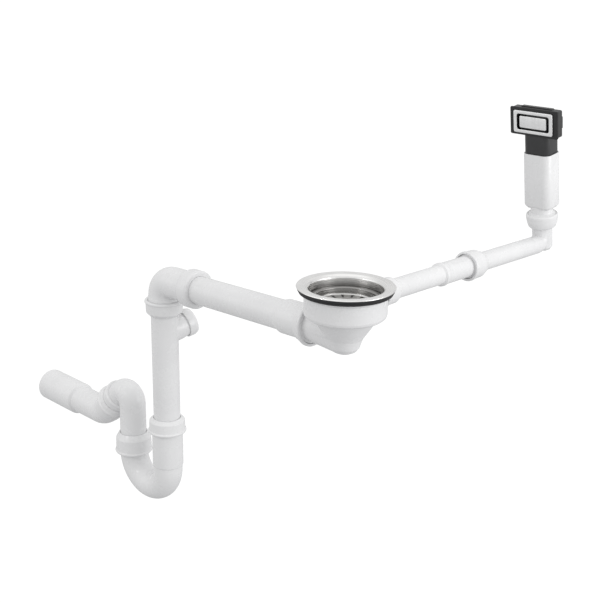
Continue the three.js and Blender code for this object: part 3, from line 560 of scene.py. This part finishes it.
def rear_elbow():
    """Its mouth takes the drain pipe, past a seal in a groove, and its collar takes the vertical pipe."""
    corner = drain_at(DOWN_Y / math.cos(DRAIN_FALL))
    mouth, drain_end, top = 262, 312.4, -91.6
    rod = Shape().pipe([drain_at(282), corner, Vector((0, DOWN_Y, -100))], [22], 21.5, None)
    obj = piece("elbow_at_wall", rod, white, "rear_elbow", "rear_elbow")
    socket = [(0, mouth), (24.2, mouth, 1.2), (26, mouth + 3, 2.2), (26, mouth + 18, 3),
              (21.5, mouth + 23, 3), (21.4, mouth + 28), (0, mouth + 28)]
    combine(obj, Shape().turned(socket, ON_DRAIN), "UNION")
    combine(obj, Shape().turned([(0, -107), (22.3, -107), (22.3, -88), (0, -88)], ON_DOWN_PIPE), "UNION")
    bore = Shape().pipe([drain_at(250), corner, Vector((0, DOWN_Y, -110))], [22], PIPE_BORE, None)
    combine(obj, bore, "DIFFERENCE")
    drain_room = [(0, mouth - 2), (19.15, mouth - 2), (19.15, mouth + 5.7), (23.5, mouth + 5.7),
                  (23.5, mouth + 12.3), (19.15, mouth + 12.3), (19.15, drain_end), (0, drain_end)]
    combine(obj, Shape().turned(drain_room, ON_DRAIN), "DIFFERENCE")
    combine(obj, Shape().turned([(0, -110), (19.4, -110), (19.4, top), (0, top)], ON_DOWN_PIPE), "DIFFERENCE")


def vertical_pipe():
    wall = [(0, -325), (PIPE_R, -325), (PIPE_R, -92), (0, -92)]
    bore = [(0, -330), (PIPE_BORE, -330), (PIPE_BORE, -80), (0, -80)]
    shape = Shape().turned(wall, ON_DOWN_PIPE)
    obj = piece("pipe_with_branch", shape, white, "vertical_pipe", "vertical_pipe")
    branch = [(0, 2), (18, 2), (18, 21, 3), (17.2, 28.5, 1), (17.4, 30), (17.4, 38.4), (0, 38.4)]
    combine(obj, Shape().turned(branch, ON_BRANCH), "UNION")
    combine(obj, Shape().turned(bore, ON_DOWN_PIPE), "DIFFERENCE")
    combine(obj, Shape().turned([(0, 1), (14.6, 1), (14.6, 40), (0, 40)], ON_BRANCH), "DIFFERENCE")


# ---------- trap ----------
def u_bend():
    radius = (TRAP_Y - DOWN_Y) / 2
    bottom = -350 - radius
    low = [Vector((0, DOWN_Y, bottom)), Vector((0, TRAP_Y, bottom))]

    def rod(top, r):
        return Shape().pipe([Vector((0, DOWN_Y, top)), *low, Vector((0, TRAP_Y, top))], [radius] * 2, r, None)

    obj = piece("u_bend_with_sockets", rod(-343, 20.6), white, "u_bend", "u_bend")
    inlet = [(0, -344.5), (22, -344.5, 1.8), (22, -292, 0.8), (22.3, -291), (22.3, -277.5), (0, -277.5)]
    outlet = [(0, -352.8), (20.8, -352.8, 0.8), (22.3, -350.5, 1), (22.3, -333.2), (0, -333.2)]
    combine(obj, Shape().turned(inlet, ON_DOWN_PIPE), "UNION")
    combine(obj, Shape().turned(outlet, ON_TRAP_LEG), "UNION")
    combine(obj, rod(-338, PIPE_BORE), "DIFFERENCE")
    pipe_room = [(0, -341.5), (19.4, -341.5), (19.4, -270), (0, -270)]
    arm_room = [(0, -351), (19.8, -351), (19.8, -330), (0, -330)]
    combine(obj, Shape().turned(pipe_room, ON_DOWN_PIPE), "DIFFERENCE")
    combine(obj, Shape().turned(arm_room, ON_TRAP_LEG), "DIFFERENCE")


def trap_arm():
    shape = Shape().pipe([Vector((0, TRAP_Y, -350.5)), TRAP_CORNER, arm_at(30)], [14.5], 19.4, PIPE_BORE)
    collar = [(18, 1), (22.4, 1, 1), (24, 2.8, 1.2), (24, 4.4, 0.8), (23.6, 5.4, 0.8), (23.6, 13.8),
              (18, 13.8)]
    shape.turned(collar, ON_ARM)
    piece("swan_neck", shape, white, "trap_arm", "trap_arm")


def outlet_adaptor():
    corner = TRAP_CORNER + ARM_WAY * ((TRAP_CORNER.z - OUTLET_Z) * math.sqrt(2))
    shape = Shape().pipe([arm_at(31), corner, Vector((0, 562, OUTLET_Z))], [30], 21, PIPE_BORE)
    shape.turned([(19.8, 23), (22.3, 23), (22.3, 48, 0.9), (20.6, 48.6), (19.8, 31)], ON_ARM)
    spigot = [(19, 553.5), (21.1, 553.5, 0.2), (24.4, 556.8, 3.4), (24.4, 638.6, 2), (23.4, 640, 0.4),
              (21.8, 640, 0.4), (21.8, 565, 2)]
    shape.turned(spigot, ON_OUTLET, steps=6)
    piece("outlet_elbow_and_spigot", shape, white, "outlet_adaptor", "outlet_adaptor")


# ---------- overflow arm ----------
def overflow_arm():
    bead = [(12.5, 171, 0.8), (15.0, 173.4, 0.9), (15.2, 176, 1), (14.8, 178.6, 0.9), (14, 181, 1.5)]
    tube = [(10.7, 77.9), (14.5, 77.9), (14.5, 80.4), (12.5, 80.4), *bead, (14, 229), (15.8, 230),
            (15.8, 246), (12.9, 246), (12.9, 184, 1), (10.7, 182, 1)]
    piece("fixed_overflow_tube", Shape().turned(tube, ON_OVERFLOW), white, "overflow_tube", "overflow_tube")
    start = Vector((205, 0, OVERFLOW_Z))
    rod = Shape().pipe([start, TOWER_START, TOWER @ (UP * 30)], [15], 12.4, None, BACK)
    obj = piece("sliding_overflow_elbow", rod, white, "overflow_elbow", "overflow_elbow")
    sleeve = [(0, -8), (11, -8, 2), (13.8, -4, 3), (13.8, 28.3), (16.5, 28.3), (16.5, 30.8), (0, 30.8)]
    combine(obj, Shape().turned(sleeve, TOWER), "UNION")
    bore = Shape().pipe([start - RIGHT, TOWER_START, TOWER @ (UP * 34)], [15], 10.6, None, BACK)
    combine(obj, bore, "DIFFERENCE")


BOX_DEEP, BOX_WIDE, BOX_WALL = 34, 42.4, 1.6
BOX_CORNER = 10


def riser_box():
    """The white box: a round-cornered sleeve with a short chamfered foot and a round spigot under it."""
    outline = rectangle(BOX_DEEP, BOX_WIDE, BOX_CORNER)
    cavity = rectangle(BOX_DEEP - 2 * BOX_WALL, BOX_WIDE - 2 * BOX_WALL, BOX_CORNER - BOX_WALL)
    low, high = 54.5, 132.8
    outside = [(-8, low), (-4.2, low), (-3.4, low + 0.4), (-0.7, low + 3.4), (0, low + 5.2),
               (0, high - 0.6), (-0.2, high - 0.15), (-0.6, high)]
    inside = [(0.5, high), (0.1, high - 0.3), (0, high - 0.8), (0, low + 7), (-3, low + 3.5), (-6.4, low + 2)]
    rings = [[TOWER @ Vector((*p, z)) for p in grown(outline, d)] for d, z in outside]
    rings += [[TOWER @ Vector((*p, z)) for p in grown(cavity, d)] for d, z in inside]
    shape = Shape().skin(rings, closed=True)
    shape.turned([(11.6, 33.7), (18.9, 33.7), (18.9, 45), (15.2, 47, 1.5), (15.2, 60), (11.6, 60)], TOWER)
    piece("riser_sleeve", shape, white, "riser", "riser_box")


HEAD_MID = 178
HEAD_FRONT, HEAD_BACK = -15.1, -4.4
GASKET_FRONT = HEAD_FRONT - 2.3
FACE_FRONT = -20.2
HEAD_AXES = Matrix(((0, 0, 1, 0), (1, 0, 0, 0), (0, 1, 0, 0), (0, 0, 0, 1)))
HEAD = TOWER @ Matrix.Translation((0, 0, HEAD_MID)) @ HEAD_AXES
POST_Y = 18.4


def on_head(across, up=0):
    return HEAD @ Matrix.Translation((across, up, 0))


def overflow_head():
    """The black housing. Its plates lie across the tower, and their thickness along the tower's X."""
    window = rectangle(59, 29, 1.6)
    shape = Shape().slab(rectangle(70.6, 35.6, 1.6), HEAD_FRONT, HEAD_BACK - 2, HEAD, 0.4, window)
    shape.slab(rectangle(71, 36, 2.2), HEAD_BACK - 3.2, HEAD_BACK, HEAD, 0.5)
    shape.slab(rectangle(48, 3.2, 1.4), HEAD_BACK - 6, HEAD_BACK - 0.5, on_head(0, 17.6), 0.4)
    slack = 2 * (BOX_WALL + 0.3)
    outline = rectangle(BOX_DEEP - slack, BOX_WIDE - slack, BOX_CORNER - slack / 2)
    levels = ((-0.6, 92), (0, 92.8), (0, 183), (-0.8, 186.5), (-2.4, 188))
    shape.skin([[TOWER @ Vector((*p, z)) for p in grown(outline, d)] for d, z in levels], closed=False)
    for side in (-1, 1):
        shape.slab(rectangle(6, 16, 1.2, 4), HEAD_BACK - 1, HEAD_BACK + 5.6, on_head(side * 30), 0.6)
        shape.turned([(2.6, -9), (4.4, -9), (4.4, -5), (2.6, -5)], on_head(side * POST_Y))
    piece("black_overflow_housing", shape, black, "overflow_head", "overflow_head")


def overflow_face():
    pad_window = rectangle(54, 25, 2)
    pad = Shape().slab(rectangle(73.6, 37.4, 2.2), GASKET_FRONT, HEAD_FRONT - 0.3, HEAD, 0.4, pad_window)
    piece("housing_gasket", pad, rubber, "overflow_head", "head_gasket")
    window = rectangle(50, 21.6, 3.2)
    ring = Shape().slab(rectangle(60, 30, 2.6), FACE_FRONT, GASKET_FRONT - 0.3, HEAD, 0.6, window)
    piece("bright_face_ring", ring, plate_steel, "overflow_head", "face_ring")
    plate = Shape().slab(rectangle(41.4, 15.8, 2), FACE_FRONT + 0.2, -18.4, HEAD, 0.5)
    for side in (-1, 1):
        plate.turned([(0, -18.9), (2.2, -18.9), (2.2, -3.4), (0, -3.4)], on_head(side * POST_Y))
    piece("bright_face_plate", plate, plate_steel, "overflow_head", "face_plate")


def finish_cad_nodes():
    """The small inner pieces keep their CAD shape and get the same finishes."""
    plastics = {"white_plastic": white, "black_plastic": black}
    finish = {**plastics, "steel": steel, "brass": brass, "rubber": rubber}
    for part in frame["record"]["subparts"]:
        mesh = frame["nodes"][part["node"]].data
        mesh.materials.clear()
        mesh.materials.append(finish[part["material_slot"]])


# ---------- studio, in metres ----------
CAMERA_AT = Vector((-0.885755, -0.804421, 0.377238))
CAMERA_RIGHT = Vector((0.70668, -0.70737, 0.01559))
CAMERA_UP = Vector((0.21029, 0.23102, 0.94995))
CAMERA_WAY = Vector((0.67556, 0.66803, -0.31201))
LENS = 65.26  # for a sensor 36 mm wide
MIDDLE = Vector((0.1, 0.25, -0.12))
FLOOR_Z = -0.9
FLOOR_REACH = 60


def camera():
    data = bpy.data.cameras.new("camera")
    data.lens = LENS
    data.sensor_width = 36
    obj = bpy.data.objects.new("camera", data)
    turn = Matrix((CAMERA_RIGHT, CAMERA_UP, -CAMERA_WAY)).transposed().to_4x4()
    obj.matrix_world = Matrix.Translation(CAMERA_AT) @ turn
    bpy.context.scene.collection.objects.link(obj)
    bpy.context.scene.camera = obj


def softbox(name, offset, size, power):
    data = bpy.data.lights.new(name, "AREA")
    data.shape = "DISK"
    data.size = size
    data.energy = power
    obj = bpy.data.objects.new(name, data)
    obj.matrix_world = facing(offset, MIDDLE + offset)
    bpy.context.scene.collection.objects.link(obj)


def floor():
    sides = ((-1, -1), (1, -1), (1, 1), (-1, 1))
    corners = [(x * FLOOR_REACH, y * FLOOR_REACH, FLOOR_Z) for x, y in sides]
    mesh = bpy.data.meshes.new("floor")
    mesh.from_pydata(corners, [], [(0, 1, 2, 3)])
    obj = bpy.data.objects.new("floor", mesh)
    bpy.context.scene.collection.objects.link(obj)
    paint = Finish("floor_paint")
    shade = paint.blend(paint.span(paint.noise(3, 2), 0, 1), (0.20, 0.20, 0.20), (0.17, 0.17, 0.17))
    glow = {"Emission_Color": (1, 1, 1, 1), "Emission_Strength": 0.86}
    mesh.materials.append(paint.done("floor", Base_Color=shade, Roughness=0.9, **glow))
    obj.visible_diffuse = False
    obj.visible_glossy = False


def daylight():
    """A white room: bright above, greyer below."""
    studio = bpy.data.worlds.new("studio")
    studio.use_nodes = True
    tree = studio.node_tree
    place = tree.nodes.new("ShaderNodeTexCoord")
    apart = tree.nodes.new("ShaderNodeSeparateXYZ")
    height = tree.nodes.new("ShaderNodeMapRange")
    height.inputs["From Min"].default_value = -1
    ramp = tree.nodes.new("ShaderNodeValToRGB")
    ramp.color_ramp.elements[0].color = (0.54, 0.543, 0.55, 1)
    ramp.color_ramp.elements[1].color = (1, 1, 1, 1)
    background = tree.nodes["Background"]
    background.inputs["Strength"].default_value = 0.9
    tree.links.new(place.outputs["Generated"], apart.inputs["Vector"])
    tree.links.new(apart.outputs["Z"], height.inputs["Value"])
    tree.links.new(height.outputs["Result"], ramp.inputs["Fac"])
    tree.links.new(ramp.outputs["Color"], background.inputs["Color"])
    bpy.context.scene.world = studio
    bpy.context.scene.view_settings.view_transform = "Standard"


def lights():
    softbox("key_softbox", Vector((0.5, -1.9, 0.45)), 1.4, 15)
    softbox("top_softbox", UP * 2, 2.4, 3)
    softbox("fill_softbox", Vector((-1.7, 1.2, 0.7)), 1.8, 4)
    softbox("left_lamp", UP * 0.7 - CAMERA_RIGHT * 1.4 - CAMERA_WAY * 1.2, 0.12, 2.5)


sink_flange()
seals()
waste_body()
spider()
basket()
pipe_nuts()
union_nuts()
drain_pipe()
rear_elbow()
vertical_pipe()
u_bend()
trap_arm()
outlet_adaptor()
overflow_arm()
riser_box()
overflow_head()
overflow_face()
finish_cad_nodes()
camera()
floor()
daylight()
lights()
